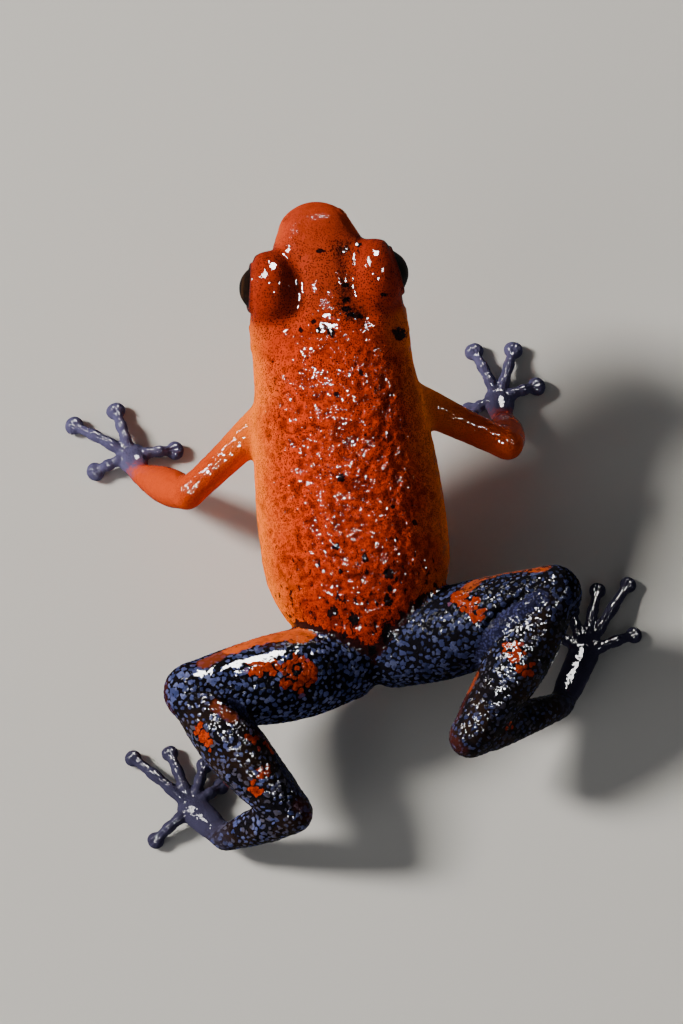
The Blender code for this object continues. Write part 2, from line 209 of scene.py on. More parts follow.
class Paintbox:
    """One material's nodes."""

    def __init__(self, name):
        self.material = bpy.data.materials.new(name)
        self.material.use_nodes = True
        self.tree = self.material.node_tree
        self.shader = self.tree.nodes["Principled BSDF"]

    def add(self, kind, inputs=None, **settings):
        made = self.tree.nodes.new(kind)
        for name, value in settings.items():
            setattr(made, name, value)
        for socket, value in (inputs or {}).items():
            self.put(made.inputs[socket], value)
        return made

    def put(self, socket, value):
        if isinstance(value, bpy.types.NodeSocket):
            self.tree.links.new(value, socket)
        else:
            socket.default_value = value

    def shade(self, sockets):
        """Set or wire the sockets of the shader itself."""
        for socket, value in sockets.items():
            self.put(self.shader.inputs[socket], value)

    def sums(self, operation, first, *others):
        """A sum of two or more values, worked out from left to right."""
        for other in others or (0.0,):
            first = self.add("ShaderNodeMath", {0: first, 1: other}, operation=operation).outputs[0]
        return first

    def plus(self, *values):
        return self.sums("ADD", *values)

    def minus(self, *values):
        return self.sums("SUBTRACT", *values)

    def times(self, *values):
        return self.sums("MULTIPLY", *values)

    def step(self, value, start, stop, low=0.0, high=1.0):
        """A soft step from low to high as value goes from start to stop."""
        inputs = {"Value": value, "From Min": start, "From Max": stop, "To Min": low, "To Max": high}
        made = self.add("ShaderNodeMapRange", inputs, interpolation_type="SMOOTHSTEP")
        return made.outputs["Result"]

    def blend(self, share, under, over):
        made = self.add("ShaderNodeMix", {0: share, 6: under, 7: over}, data_type="RGBA")
        return made.outputs[2]

    def coats(self, ground, *layers):
        """Layers of (share, colour) painted over a ground, one after the other."""
        for share, over in layers:
            ground = self.blend(share, ground, over)
        return ground

    def reading(self, name):
        """A number that the mesh carries at each point."""
        return self.add("ShaderNodeAttribute", attribute_name=name).outputs["Fac"]

    def place(self):
        return self.add("ShaderNodeTexCoord").outputs["Object"]

    def cloud(self, size, detail=3.0, roughness=0.55, distortion=0.0, stretch=(1, 1, 1)):
        """Soft noise with blotches this many millimetres across, longer where stretch is below 1."""
        drawn = self.add("ShaderNodeVectorMath", {0: self.place(), 1: stretch}, operation="MULTIPLY")
        inputs = {"Vector": drawn.outputs[0], "Scale": 1 / (size * MM), "Detail": detail,
                  "Roughness": roughness, "Distortion": distortion}
        return self.add("ShaderNodeTexNoise", inputs).outputs["Fac"]

    def cells(self, size, randomness):
        """Distance from the middles of cells this many millimetres across."""
        inputs = {"Vector": self.place(), "Scale": 1 / (size * MM), "Randomness": randomness}
        return self.add("ShaderNodeTexVoronoi", inputs).outputs["Distance"]

    def bump(self, height, depth, strength=1.0, under=None):
        """Fine relief, with its depth in millimetres."""
        inputs = {"Height": height, "Distance": depth * MM, "Strength": strength}
        if under is not None:
            inputs["Normal"] = under
        return self.add("ShaderNodeBump", inputs).outputs["Normal"]


# %% [markdown]
# The floor is a plain pale sheet. It is kept out of reflections, or its paleness would lie like a
# veil on the flanks of a wet animal.

# %% Floor
FLOOR_SIZE = 2.0

bpy.ops.mesh.primitive_plane_add(size=FLOOR_SIZE)
floor = bpy.context.object
floor.name = "floor"
card = Paintbox("pale_card")
tone = card.blend(card.cloud(90), paint(200, 199, 196), paint(207, 206, 203))
card.shade({"Base Color": tone, "Specular IOR Level": 0.0,
            "Roughness": card.step(card.cloud(3), 0.2, 0.8, 0.62, 0.7)})
floor.data.materials.append(card.material)
floor.visible_glossy = False

# %% [markdown]
# Every rounded form is a loft: rings of points along a path, skinned over. A frog's limbs change
# thickness all the way along, which spheres and boxes can't follow. Lofts may overlap freely,
# since one skin is drawn over all of them later.

# %% Lofts
shells = []                  # every form as (points, faces), to be fused into one skin


def circle(sides):
    """The cosines and the sines of equal turns round a circle."""
    angles = np.linspace(0, math.tau, sides, endpoint=False)
    return np.cos(angles), np.sin(angles)


def loft(rings):
    """Keep a closed surface over rings of points, drawn to a point at both ends."""
    rings = np.asarray(rings, float)
    count, sides = rings.shape[:2]
    points = np.concatenate([rings.reshape(-1, 3), rings[:1].mean(axis=1), rings[-1:].mean(axis=1)])
    here = np.arange(sides)
    there = np.roll(here, -1)
    faces = []
    for row in range(count - 1):
        near, far = row * sides, (row + 1) * sides
        faces += np.stack([near + here, near + there, far + there, far + here], axis=1).tolist()
    first, last = count * sides, count * sides + 1
    faces += np.stack([there, here, np.full(sides, first)], axis=1).tolist()
    end = (count - 1) * sides
    faces += np.stack([end + here, end + there, np.full(sides, last)], axis=1).tolist()
    shells.append((points, faces))


def tube(path, radii, flat=1.0, sides=36, cap=8):
    """A round-ended tube along a path; flat below 1 makes it less high than wide."""
    path, radii = np.asarray(path, float), np.asarray(radii, float)
    headings = np.gradient(path, axis=0)
    headings /= np.linalg.norm(headings, axis=1)[:, None]
    wides = np.cross(headings, (0, 0, 1))
    wides /= np.linalg.norm(wides, axis=1)[:, None]
    highs = np.cross(wides, headings)
    turns = np.radians(90 * np.arange(cap + 1) / (cap + 1))
    out, up = circle(sides)
    rings = []
    for i, centre in enumerate(path):
        ends = [(0.0, 1.0)]
        if i == 0:
            ends = [(-math.sin(turn), math.cos(turn)) for turn in turns[::-1]]
        if i == len(path) - 1:
            ends = [(math.sin(turn), math.cos(turn)) for turn in turns]
        for ahead, share in ends:
            across = np.outer(out, wides[i]) + np.outer(up, highs[i]) * flat
            rings.append(centre + headings[i] * ahead * radii[i] + across * radii[i] * share)
    loft(rings)


def ball(centre, radii, turn=None, sides=48, rows=24):
    """An ellipsoid, its radii given along the columns of turn."""
    turn = np.eye(3) if turn is None else np.asarray(turn)
    out, up = circle(sides)
    rings = []
    for slope in np.linspace(0, math.pi, rows + 2)[1:-1]:
        flat_ring = np.stack([math.sin(slope) * out, math.sin(slope) * up,
                              np.full(sides, -math.cos(slope))], axis=1)
        rings.append(np.asarray(centre) + (flat_ring * np.asarray(radii)) @ turn.T)
    loft(rings)


# %% [markdown]
# The trunk is one loft from snout to vent, driven by three curves: half width, top and bottom.
# A rounded square section gives the flat back and full sides that an ellipse misses. The snout
# and the vent close over with a quarter circle.

# %% Trunk
FLANK = ((0, 1.25), (0.8, 1.55), (1.8, 2.1), (3.4, 3.0), (4.8, 3.45), (7, 3.5), (9, 3.78),
         (12, 4.08), (14.5, 4.17), (16.5, 4.03), (18.2, 3.3), (19.4, 2.35), (21, 1.0))
BACK = ((0, -1.4), (1, -1.0), (2, -0.68), (3.4, -0.4), (5, -0.45), (6.5, -0.5), (9, -0.2),
        (12, 0), (14.5, 0), (17, -0.25), (19, -0.75), (21, -1.5))
BELLY = ((0, -3.25), (1, -3.7), (3, -4.25), (5, -4.65), (7, -5.05), (9, -5.65), (12, -6.3),
         (14.5, -6.3), (17, -5.6), (19, -4.6), (21, -3.7))
SQUARENESS = 2.25
SNOUT_ROUNDING = 0.9
VENT_ROUNDING = 1.6
WIDEST = 14.5                # behind the snout tip


def trunk_section(distance):
    """Half width, middle height and half height of the trunk."""
    distance = np.asarray(distance, float)
    from_snout = (SNOUT_ROUNDING - distance) / SNOUT_ROUNDING
    from_vent = (distance - BODY_LENGTH + VENT_ROUNDING) / VENT_ROUNDING
    nearest = np.clip(np.maximum(from_snout, from_vent), 0, 0.999)
    share = np.sqrt(1 - nearest ** 2)
    top, bottom = along(BACK, distance), along(BELLY, distance)
    middle = (top + bottom) / 2
    return along(FLANK, distance) * share, middle, (top - middle) * share


def skin_across(distance, height):
    """How far out the trunk's skin lies."""
    half, middle, rise = trunk_section(distance)
    share = np.clip(np.abs(height - middle) / rise, 0, 1)
    return half * (1 - share ** SQUARENESS) ** (1 / SQUARENESS)


def trunk_rings(sides=120, end_rings=12, long_rings=110):
    turns = np.radians(np.linspace(6, 84, end_rings))
    snout = SNOUT_ROUNDING * (1 - np.cos(turns))
    vent = BODY_LENGTH - VENT_ROUNDING * (1 - np.cos(turns[::-1]))
    straight = np.linspace(SNOUT_ROUNDING, BODY_LENGTH - VENT_ROUNDING, long_rings)
    out, up = (np.sign(wave) * np.abs(wave) ** (2 / SQUARENESS) for wave in circle(sides))
    rings = []
    for distance in np.concatenate([snout, straight, vent]):
        half, middle, rise = trunk_section(distance)
        rings.append(body_to_room(np.full(sides, distance), half * out, middle + rise * up))
    return rings


loft(trunk_rings())
print("trunk: %.1f mm long, %.1f mm wide" % (BODY_LENGTH, 2 * along(FLANK, WIDEST)))

# %% [markdown]
# From above, a frog's eyes are two round swellings of the brow with a dark crescent of eyeball at
# their outer edge. Each is an ellipsoid, and a ball a little larger than the eye wraps it, so
# that the lids have something to be made from.

# %% Brows and lids
BROW = (EYE[0] + 0.05, 2.28, EYE[2])     # behind the snout tip, across, above the back line
BROW_RADII = (1.36, 1.68, 1.6)    # across, along, up
LID_RADIUS = 1.33
EYE_FORWARD, EYE_UP = math.radians(10), math.radians(6)
SIDES = {"left": 1, "right": -1}

body_axes = np.array([[1, 0, 0],
                      [0, math.cos(HEAD_UP), math.sin(HEAD_UP)],
                      [0, -math.sin(HEAD_UP), math.cos(HEAD_UP)]])


def on_side(place, sign):
    """A place on the head, on the frog's left or its mirror place on the right."""
    behind, out, up = place
    return body_to_room(behind, sign * out, up)


def eye_frame(sign):
    """Outward, backward and upward from an eye, each a unit vector."""
    outward = unit(np.array([sign, -math.tan(EYE_FORWARD), math.tan(EYE_UP)]))
    upward = unit(body_axes[:, 2] - outward * (body_axes[:, 2] @ outward))
    backward = np.cross(upward, outward) * sign
    return outward, backward, upward


for sign in SIDES.values():
    ball(on_side(BROW, sign), BROW_RADII, body_axes)
    ball(on_side(EYE, sign), (LID_RADIUS,) * 3)

# %% [markdown]
# A limb piece is a tube whose thickness follows its muscles: a thigh is full in the middle, a
# shank is a spindle, and a forearm swells below the elbow. The joints are places in the room,
# found from the photograph, and each piece overlaps the next.

# %% Arms and legs
JOINTS = {
    "left": {
        "shoulder": (2.7, -3.2, 5.9), "elbow": (7.07, -0.3, 4.5), "wrist": (9.02, -2.85, 0.95),
        "knuckles": (9.3, -3.95, 0.42), "hip": (1.2, 7.8, 2.8), "knee": (7.94, 8.92, 4.7),
        "heel": (4.31, 14.44, 3.0), "instep": (7.3, 14.65, 1.1), "toe_base": (8.56, 12.9, 0.48),
    },
    "right": {
        "shoulder": (-2.6, -3.3, 6.0), "elbow": (-7.35, -0.78, 4.5), "wrist": (-7.59, -3.29, 0.95),
        "knuckles": (-7.6, -4.5, 0.42), "hip": (-1.2, 7.45, 2.8), "knee": (-8.26, 6.6, 5.0),
        "heel": (-3.84, 12.2, 3.6), "instep": (-8.18, 10.6, 1.4), "toe_base": (-9.6, 8.1, 0.48),
    },
}
# Half thickness at equal steps from the upper to the lower joint.
PIECES = {
    "upper_arm": ("shoulder", "elbow", (0.95, 0.88, 0.76, 0.7, 0.73)),
    "forearm": ("elbow", "wrist", (0.72, 0.84, 0.82, 0.66, 0.5)),
    "palm": ("wrist", "knuckles", (0.5, 0.62, 0.72)),
    "thigh": ("hip", "knee", (1.75, 1.97, 1.95, 1.7, 1.33)),
    "shank": ("knee", "heel", (1.15, 1.34, 1.38, 1.2, 0.97)),
    "tarsus": ("heel", "instep", (0.92, 0.93, 0.84, 0.72, 0.62)),
    "sole": ("instep", "toe_base", (0.62, 0.66, 0.7)),
}
FLAT = {"palm": 0.66, "sole": 0.66}
BOWS = {"thigh": (0, 0.15, 0), "shank": (0.2, 0, 0.2)}      # off the straight line, on the left
SHARES = np.linspace(0, 1, 28)


def limb_line(side, piece):
    """The two joints, the sizes as a table and the bow of one limb piece."""
    upper, lower, sizes = PIECES[piece]
    table = tuple(zip(np.linspace(0, 1, len(sizes)), sizes))
    bow = np.array(BOWS.get(piece, (0, 0, 0))) * (SIDES[side], 1, 1)
    return np.array(JOINTS[side][upper]), np.array(JOINTS[side][lower]), table, bow


def arched(start, end, bow):
    """A path from start to end that bows out in the middle."""
    return start + np.outer(SHARES, end - start) + np.outer(np.sin(math.pi * SHARES), bow)


for side in SIDES:
    for piece in PIECES:
        start, end, table, bow = limb_line(side, piece)
        tube(arched(start, end, bow), along(table, SHARES), FLAT.get(piece, 1.0))
        print(side, piece, "%.1f mm" % np.linalg.norm(end - start))

# %% [markdown]
# Four fingers and five toes end in flat gripping discs. Each digit is a thin arched tube, a
# little thicker at its joints, with its disc on the floor. Most are hidden or blurred in the
# photograph, so they follow the species.

# %% Fingers and toes
TIPS = {
    ("left", "knuckles"): ((7.31, -4.05), (9.75, -6.3), (11.71, -5.85), (11.0, -3.5)),
    ("right", "knuckles"): ((-6.2, -4.2), (-6.81, -7.06), (-8.6, -6.9), (-9.4, -5.0)),
    ("left", "toe_base"): ((7.2, 12.0), (7.8, 10.95), (9.25, 10.2), (10.9, 10.2), (10.35, 14.1)),
    ("right", "toe_base"): ((-8.6, 6.9), (-9.4, 5.9), (-10.7, 5.1), (-12.1, 5.0), (-12.0, 7.4)),
}
DISCS = {"knuckles": (0.46, 0.42, 0.28), "toe_base": (0.4, 0.38, 0.27)}
DIGIT_ARCH = 0.2
TIP_HEIGHT = 0.26
THICKNESS = ((0, 0.36), (0.2, 0.27), (0.36, 0.29), (0.5, 0.25), (0.66, 0.285), (0.8, 0.23),
             (1, 0.24))

digits = []                  # (base, tip, sideways direction) of each digit, for finer work later
for (side, root), tips in TIPS.items():
    base = np.array(JOINTS[side][root])
    for x, y in tips:
        tip = np.array((x, y, TIP_HEIGHT))
        tube(arched(base, tip, (0, 0, DIGIT_ARCH)), along(THICKNESS, SHARES), sides=20, cap=5)
        ahead = unit((tip - base) * (1, 1, 0))
        wide = np.cross(ahead, (0, 0, 1))
        ball(tip, DISCS[root], np.stack([wide, ahead, (0, 0, 1)], axis=1), 28, 14)
        digits.append((base, tip, wide))
print("forms:", len(shells), "digits:", len(digits))

# %% [markdown]
# The forms now cross at the shoulders, hips and joints, where a Boolean would leave sharp seams.
# A voxel remesh draws one even skin over the outside of everything instead, and its small equal
# faces are what the folds and grains need later.

# %% One skin over every form
VOXEL = 0.05


def fuse(forms, voxel):
    """One closed mesh over all the forms."""
    points, faces, offset = [], [], 0
    for form_points, form_faces in forms:
        points.append(form_points)
        faces += [[corner + offset for corner in face] for face in form_faces]
        offset += len(form_points)
    mesh = bpy.data.meshes.new("forms")
    mesh.from_pydata(np.concatenate(points).tolist(), [], faces)
    body = bpy.data.objects.new("forms", mesh)
    bpy.context.scene.collection.objects.link(body)
    remesh = body.modifiers.new("skin", "REMESH")
    remesh.mode = "VOXEL"
    remesh.voxel_size = voxel
    seen = body.evaluated_get(bpy.context.evaluated_depsgraph_get())
    fused = bpy.data.meshes.new_from_object(seen)
    bpy.data.objects.remove(body)
    return fused


def rows_of(collection, field, width, kind):
    """One field of a mesh's points, edges or triangles, as an array with a row for each."""
    values = np.empty(len(collection) * width, kind)
    collection.foreach_get(field, values)
    return values.reshape(-1, width)


skin_mesh = fuse(shells, VOXEL)
skin_mesh.calc_loop_triangles()
points = rows_of(skin_mesh.vertices, "co", 3, np.float32).astype(float)
edges = rows_of(skin_mesh.edges, "vertices", 2, np.int32)
triangles = rows_of(skin_mesh.loop_triangles, "vertices", 3, np.int32)
print("skin points:", len(points), "triangles:", len(triangles))

# %% [markdown]
# To work on one part of the skin alone, each point has to know what it belongs to. So its
# distance outside every form is worked out, and near zero means that it lies on that form.

# %% Which form each point lies on
def beside(points, start, end):
    """Distance from points to the line from start to end, and how far along it they are."""
    axis = end - start
    share = (points - start) @ axis / (axis @ axis)
    return np.linalg.norm(points - start - np.clip(share, 0, 1)[:, None] * axis, axis=1), share


def outside_limb(points, side, piece):
    """How far points lie outside a limb piece, and how far along it they are."""
    start, end, table, bow = limb_line(side, piece)
    axis = end - start
    share = np.clip((points - start) @ axis / (axis @ axis), 0, 1)
    centre = start + share[:, None] * axis + np.sin(math.pi * share)[:, None] * bow
    return np.linalg.norm(points - centre, axis=1) - along(table, share), share


def outside_trunk(points):
    distance, across, height = room_to_body(points)
    half, middle, rise = trunk_section(np.clip(distance, 0.05, BODY_LENGTH - 0.05))
    ratio = (np.abs(across) / half) ** SQUARENESS + (np.abs(height - middle) / rise) ** SQUARENESS
    past = np.maximum(distance - BODY_LENGTH, 0) + np.maximum(-distance, 0)
    return (ratio ** (1 / SQUARENESS) - 1) * np.minimum(half, rise) + past


def outside_ball(points, centre, radii):
    ratio = np.linalg.norm((points - centre) @ body_axes / np.array(radii), axis=1)
    return (ratio - 1) * min(radii)


FAR = 9.0                    # stands for a distance that is too long to matter
DIGIT_RADIUS = 0.3

out_trunk = outside_trunk(points)
out = {"trunk": out_trunk}
share_of = {}
for side, sign in SIDES.items():
    out[side + "_brow"] = outside_ball(points, on_side(BROW, sign), BROW_RADII)
    for piece in PIECES:
        name = side + "_" + piece
        out[name], share_of[name] = outside_limb(points, side, piece)
out_digit = np.full(len(points), FAR)
for base, tip, _ in digits:
    out_digit = np.minimum(out_digit, beside(points, base, tip)[0] - DIGIT_RADIUS)

# %% [markdown]
# Real skin doesn't meet in a sharp crease at the armpit or groin, but runs over in a soft web.
# So each point is averaged with its neighbours, many times in the creases and only a few times
# elsewhere, where fingers and toes must keep their thickness.

# %% Relax the skin
neighbours = np.bincount(edges.ravel(), minlength=len(points)).astype(float)


def average(values):
    """The mean of each point's neighbours."""
    total = np.empty_like(values)
    for axis in range(values.shape[1]):
        column = values[:, axis]
        total[:, axis] = np.bincount(edges[:, 0], column[edges[:, 1]], len(values))
        total[:, axis] += np.bincount(edges[:, 1], column[edges[:, 0]], len(values))
    return total / neighbours[:, None]


def relax(points, strength, times):
    for _ in range(times):
        points = points + (average(points) - points) * strength[:, None]
    return points


WEB_EDGE, WEB_CORE = 0.75, 0.15      # how much nearer one form lies than the next, at a crease
EVEN_TIMES, CREASE_TIMES = ((8, 90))

ranked = np.sort(np.stack(list(out.values())), axis=0)
crease = fade(WEB_EDGE, WEB_CORE, ranked[1] - ranked[0]) * fade(0.2, 0.6, out_digit)
points = relax(points, np.full(len(points), 0.5), EVEN_TIMES)
points = relax(points, 0.6 * crease, CREASE_TIMES)
print("share of the skin that lies in creases: %.2f" % crease.mean())


def outward_normals(points):
    """Unit normals, from the faces round each point."""
    corners = points[triangles]
    face = np.cross(corners[:, 1] - corners[:, 0], corners[:, 2] - corners[:, 0])
    total = np.zeros_like(points)
    for corner in range(3):
        for axis in range(3):
            total[:, axis] += np.bincount(triangles[:, corner], face[:, axis], len(points))
    return total / np.maximum(np.linalg.norm(total, axis=1), 1e-12)[:, None]


# %% [markdown]
# The lids are made by pushing. Inside an oval round the line of sight the skin sinks behind the
# eyeball, and at the edge it climbs steeply to the rolled rim of the lid. A cut would need its
# edge repaired, and a pushed rim stays smooth.

# %% Lids round the eyes
OPENING = (1.03, 0.99, 0.9)        # half length, half height above and below the line of sight
BEHIND_EYE = 1.07
RIM = 1.3
ROLL = (1.07, 0.06, 0.035)         # where the rolled edge lies on the oval, its width and height
LID_REACH, LID_SPAN = 2.0, 1.6     # no skin further than this from the eye, or the oval, moves

lid_edge = np.full(len(points), FAR)     # 1 on the rim of the lid, less inside
for sign in SIDES.values():
    outward, backward, upward = eye_frame(sign)
    offset = points - on_side(EYE, sign)
    reach = np.linalg.norm(offset, axis=1)
    back, up, ahead = offset @ backward, offset @ upward, offset @ outward
    half_height = np.where(up > 0, OPENING[1], OPENING[2])
    oval = np.hypot(back / OPENING[0], up / half_height)
    near = (ahead > 0.1) & (reach < LID_REACH) & (oval < LID_SPAN)
    target = BEHIND_EYE + (RIM - BEHIND_EYE) * fade(0.9, 1.02, oval)
    target += ROLL[2] * bell(oval - ROLL[0], ROLL[1])
    weight = np.where(near, fade(1.34, 1.06, oval), 0)
    new_reach = reach + (target - reach) * weight
    points = points + offset * ((new_reach / reach - 1) * near)[:, None]
    lid_edge = np.where(near, np.minimum(lid_edge, oval), lid_edge)

# %% [markdown]
# Small forms of the head are pressed in along the skin's normals: furrows, ridges, the mouth with
# its lips, the nostrils and the faint eardrums. Each is a bell curve of the distance from a line
# or a point.

# %% Face
MOUTH = ((0, -2.85), (1.5, -3.1), (3.4, -3.4), (4.6, -3.6), (5.4, -3.9))
MOUTH_END, MOUTH_FADE = 5.4, (5.55, 5.0)
LIPS = ((0.24, 0.05, 0.15), (-0.24, 0.055, 0.16))      # above the mouth line, height, width
MOUTH_DEPTH, MOUTH_WIDTH = 0.13, 0.055
NOSTRIL = (0.62, -1.8)
EARDRUM = (5.45, -2.6)
EARDRUM_RADIUS = 0.5
# Furrow inside the brow, ridge from eye to nostril, hollow below the ridge and fold behind the
# eardrum, each as (height, width, stops on the left).
FACE_LINES = (
    (-0.11, 0.46, ((2.35, 1.05, -0.55), (3.2, 1.12, -0.4), (4.3, 1.25, -0.42), (5.1, 1.7, -0.5))),
    (0.05, 0.42, ((0.75, 1.0, -1.35), (1.5, 1.5, -1.2), (2.3, 1.95, -1.15))),
    (-0.08, 0.5, ((1.1, 1.7, -2.1), (2.0, 2.3, -2.15))),
    (0.07, 0.25, ((4.75, 3.2, -1.5), (5.6, 3.35, -1.8), (6.6, 3.3, -2.5), (7.4, 3.3, -3.2))),
)
CLEAR_OF_LIDS = 1.1
SNOUT_REACH = 0.18
SNOUT_TURN = 0.08            # the head looks a trace to its left


def near_line(points, stops):
    """Distance from points to a run of straight lines through the stops."""
    stops = np.asarray(stops, float)
    return np.minimum.reduce([beside(points, *ends)[0] for ends in zip(stops[:-1], stops[1:])])


def from_place(place, sign):
    """Distance of the skin's points from a place on the side of the head."""
    behind, up = place
    return np.linalg.norm(points - on_side((behind, skin_across(behind, up), up), sign), axis=1)


distance, across, height = room_to_body(points)
lip = height - along(MOUTH, np.clip(distance, 0, MOUTH_END))
mouth_fade = fade(*MOUTH_FADE, distance) * (ranked[0] < 0.6)
push = -MOUTH_DEPTH * bell(lip, MOUTH_WIDTH)
for above, lift, width in LIPS:
    push += lift * bell(lip - above, width)
push *= mouth_fade
for sign in SIDES.values():
    for lift, width, stops in FACE_LINES:
        push += lift * bell(near_line(points, [on_side(stop, sign) for stop in stops]), width)
    away = from_place(NOSTRIL, sign)
    push += 0.06 * bell(away - 0.2, 0.09) - 0.2 * bell(away, 0.11)
    away = from_place(EARDRUM, sign)
    push += 0.035 * bell(away - EARDRUM_RADIUS, 0.09) - 0.05 * fade(EARDRUM_RADIUS, 0.3, away)
to_nostril = np.minimum(from_place(NOSTRIL, 1), from_place(NOSTRIL, -1))
points = points + outward_normals(points) * (push * (lid_edge > CLEAR_OF_LIDS))[:, None]

nose = fade(2.6, 0.2, distance)[:, None]
points = points + nose * (SNOUT_TURN * body_axes[:, 0] - SNOUT_REACH * body_axes[:, 1])

# %% [markdown]
# Where a limb bends, the skin gathers: knee and heel show short creases inside the bend, and each
# finger joint has a ring. Where the shank lies folded over the thigh, a deep groove parts them.
# All are waves and bell curves along the normals.

# %% Folds at the joints
# Each bend as (joint, joint before, joint after, radius, waves).
BENDS = (("knee", "hip", "heel", 1.5, 9.0), ("heel", "knee", "instep", 1.2, 10.0),
         ("elbow", "shoulder", "wrist", 0.9, 11.0))
FOLD_HEIGHT = 0.02
RINGS, RING_WIDTH, RING_DEPTH = (0.43, 0.5, 0.74), 0.025, 0.018      # along a digit
DISC_GROOVE_WIDTH, DISC_GROOVE_DEPTH = 0.05, 0.035
# Where each shank lies over its thigh, as (groove between them, ridge beside it).
KNEE_FOLDS = (
    (((8.1, 9.3, 5.76), (7.23, 9.3, 5.75), (6.5, 9.65, 5.5), (5.95, 10.1, 5.2), (5.5, 10.5, 4.85)),
     ((7.5, 9.8, 5.8), (7.0, 10.0, 5.72), (6.4, 10.45, 5.55), (5.8, 11.0, 5.2))),
    (((-4.42, 8.57, 4.1), (-4.76, 8.22, 5.18), (-5.26, 7.82, 5.75), (-5.76, 7.45, 5.95),
      (-6.35, 7.19, 6.06), (-7.13, 6.85, 6.07), (-7.8, 6.6, 5.9)),
     ((-4.7, 8.9, 4.1), (-5.05, 8.6, 5.1), (-5.6, 8.2, 5.65), (-6.15, 7.8, 5.9),
      (-6.8, 7.5, 6.0), (-7.5, 7.15, 6.1))),
)

push = np.zeros(len(points))
for side in SIDES:
    for joint, before, after, radius, waves in BENDS:
        place = np.array(JOINTS[side][joint])
        to_before = unit(np.array(JOINTS[side][before]) - place)
        to_after = unit(np.array(JOINTS[side][after]) - place)
        offset = points - place
        inward = offset @ (to_before + to_after)
        angle = np.arctan2(offset @ (to_before - to_after), inward)
        close = fade(1.9 * radius, 0.9 * radius, np.linalg.norm(offset, axis=1))
        push += FOLD_HEIGHT * np.cos(angle * waves) * fade(0.0, 1.0, inward) * close
for base, tip, wide in digits:
    away, share = beside(points, base, tip)
    push -= RING_DEPTH * sum(bell(share - ring, RING_WIDTH) for ring in RINGS) * (away < 0.55)
    on_disc = (np.linalg.norm(points - tip, axis=1) < 0.5) & (points[:, 2] > TIP_HEIGHT + 0.04)
    push -= DISC_GROOVE_DEPTH * bell((points - tip) @ wide, DISC_GROOVE_WIDTH) * on_disc
for groove, ridge in KNEE_FOLDS:
    push += 0.1 * bell(near_line(points, ridge), 0.28) - 0.2 * bell(near_line(points, groove), 0.17)
points = points + outward_normals(points) * push[:, None]

# %% [markdown]
# Now the grain. The back is a rough, wet leather with lumps of no fixed shape, and the legs carry
# separate beads. For the leather, every point gets a random height, and the heights are blurred
# along the skin. A long blur leaves broad lumps and a short one fine grit, and nothing repeats.

# %% Leather of the back
LUMP, PEBBLE, GRIT = 0.008, 0.012, 0.004      # heights

rng = np.random.default_rng(7)
distance, across, height = room_to_body(points)
half, middle, rise = trunk_section(np.clip(distance, 0.1, BODY_LENGTH - 0.1))
upness = np.clip((height - middle) / rise, -1, 1)       # 1 on the back, -1 on the belly


def nearest_of(*pieces):
    """How far points lie outside the nearest of some forms, on either side."""
    return np.minimum.reduce([out[side + "_" + piece] for side in SIDES for piece in pieces])


out_arm = nearest_of("upper_arm", "forearm")
out_leg = nearest_of("thigh", "shank", "tarsus")
out_hand = np.minimum(nearest_of("palm", "sole"), out_digit)
leg_edge = out_trunk - out_leg               # above 0 on the legs, in millimetres
arm_edge = out_trunk - out_arm
hand_edge = np.minimum(out_arm, out_leg) - out_hand
on_leg = fade(-0.05, 0.1, leg_edge)
on_arm = fade(-0.05, 0.1, arm_edge) * (1 - on_leg)
on_hand = fade(-0.1, 0.25, hand_edge)
on_trunk = (1 - on_leg) * (1 - on_arm) * (1 - on_hand)


def rough(width, columns=1):
    """Random numbers blurred over about this many millimetres, even in strength."""
    values = rng.normal(size=(len(points), columns))
    for _ in range(max(1, round(2 * (width / VOXEL) ** 2))):
        values = values + (average(values) - values) * 0.7
    return (values - values.mean(axis=0)) / values.std(axis=0)


lumps = rough(0.3)[:, 0]
pebbles = rough(0.13)[:, 0]
grit_height = rough(0.07)[:, 0]
rough_back = fade(4.5, 9.0, distance) * (0.25 + 0.75 * fade(0.0, 0.75, upness))
leather = LUMP * lumps + PEBBLE * pebbles + GRIT * grit_height
points = points + outward_normals(points) * (leather * (0.16 + rough_back) * on_trunk
                                             * fade(1.0, 1.3, lid_edge))[:, None]
print("leather relief, mm: %.3f on the back" % (leather * rough_back).std())

# %% [markdown]
# Seeds for the beads are dropped on the legs in a random order, and one is refused where another
# stands too near. That gives the even but lively spacing of real skin, unlike a grid or plain
# random dots. Points are shaken a little first, so no bead is quite round.

# %% Seeds for the beads
BEAD_SPACING = 0.25
SHAKE = 0.035


def tree_of(places):
    """A search tree over places, which answers with their numbers."""
    tree = kdtree.KDTree(len(places))
    for i, place in enumerate(places):
        tree.insert(place, i)
    tree.balance()
    return tree


beaded = np.flatnonzero(on_leg * (1 - on_hand) > 0.02)
shaken = points[beaded] + SHAKE * rough(0.1, 3)[beaded]
tree = tree_of(shaken)
taken = np.zeros(len(beaded), bool)
seeds = []
for i in rng.permutation(len(beaded)):
    if not taken[i]:
        seeds.append(i)
        for _, near, _ in tree.find_range(shaken[i], BEAD_SPACING * rng.uniform(0.75, 1.2)):
            taken[near] = True
seeds = np.array(seeds)
print("beads on the legs:", len(seeds))

# %% [markdown]
# Each point finds its nearest seed, and the distance says how high on the bead it lies. Along the
# front of each thigh the beads melt into a sleek strip, which carries the long bright highlight
# of the photograph.

# %% Bead heights
LIFT = 0.018                 # height of a bead
MELTED = 0.85                # how much of it goes in a sleek strip
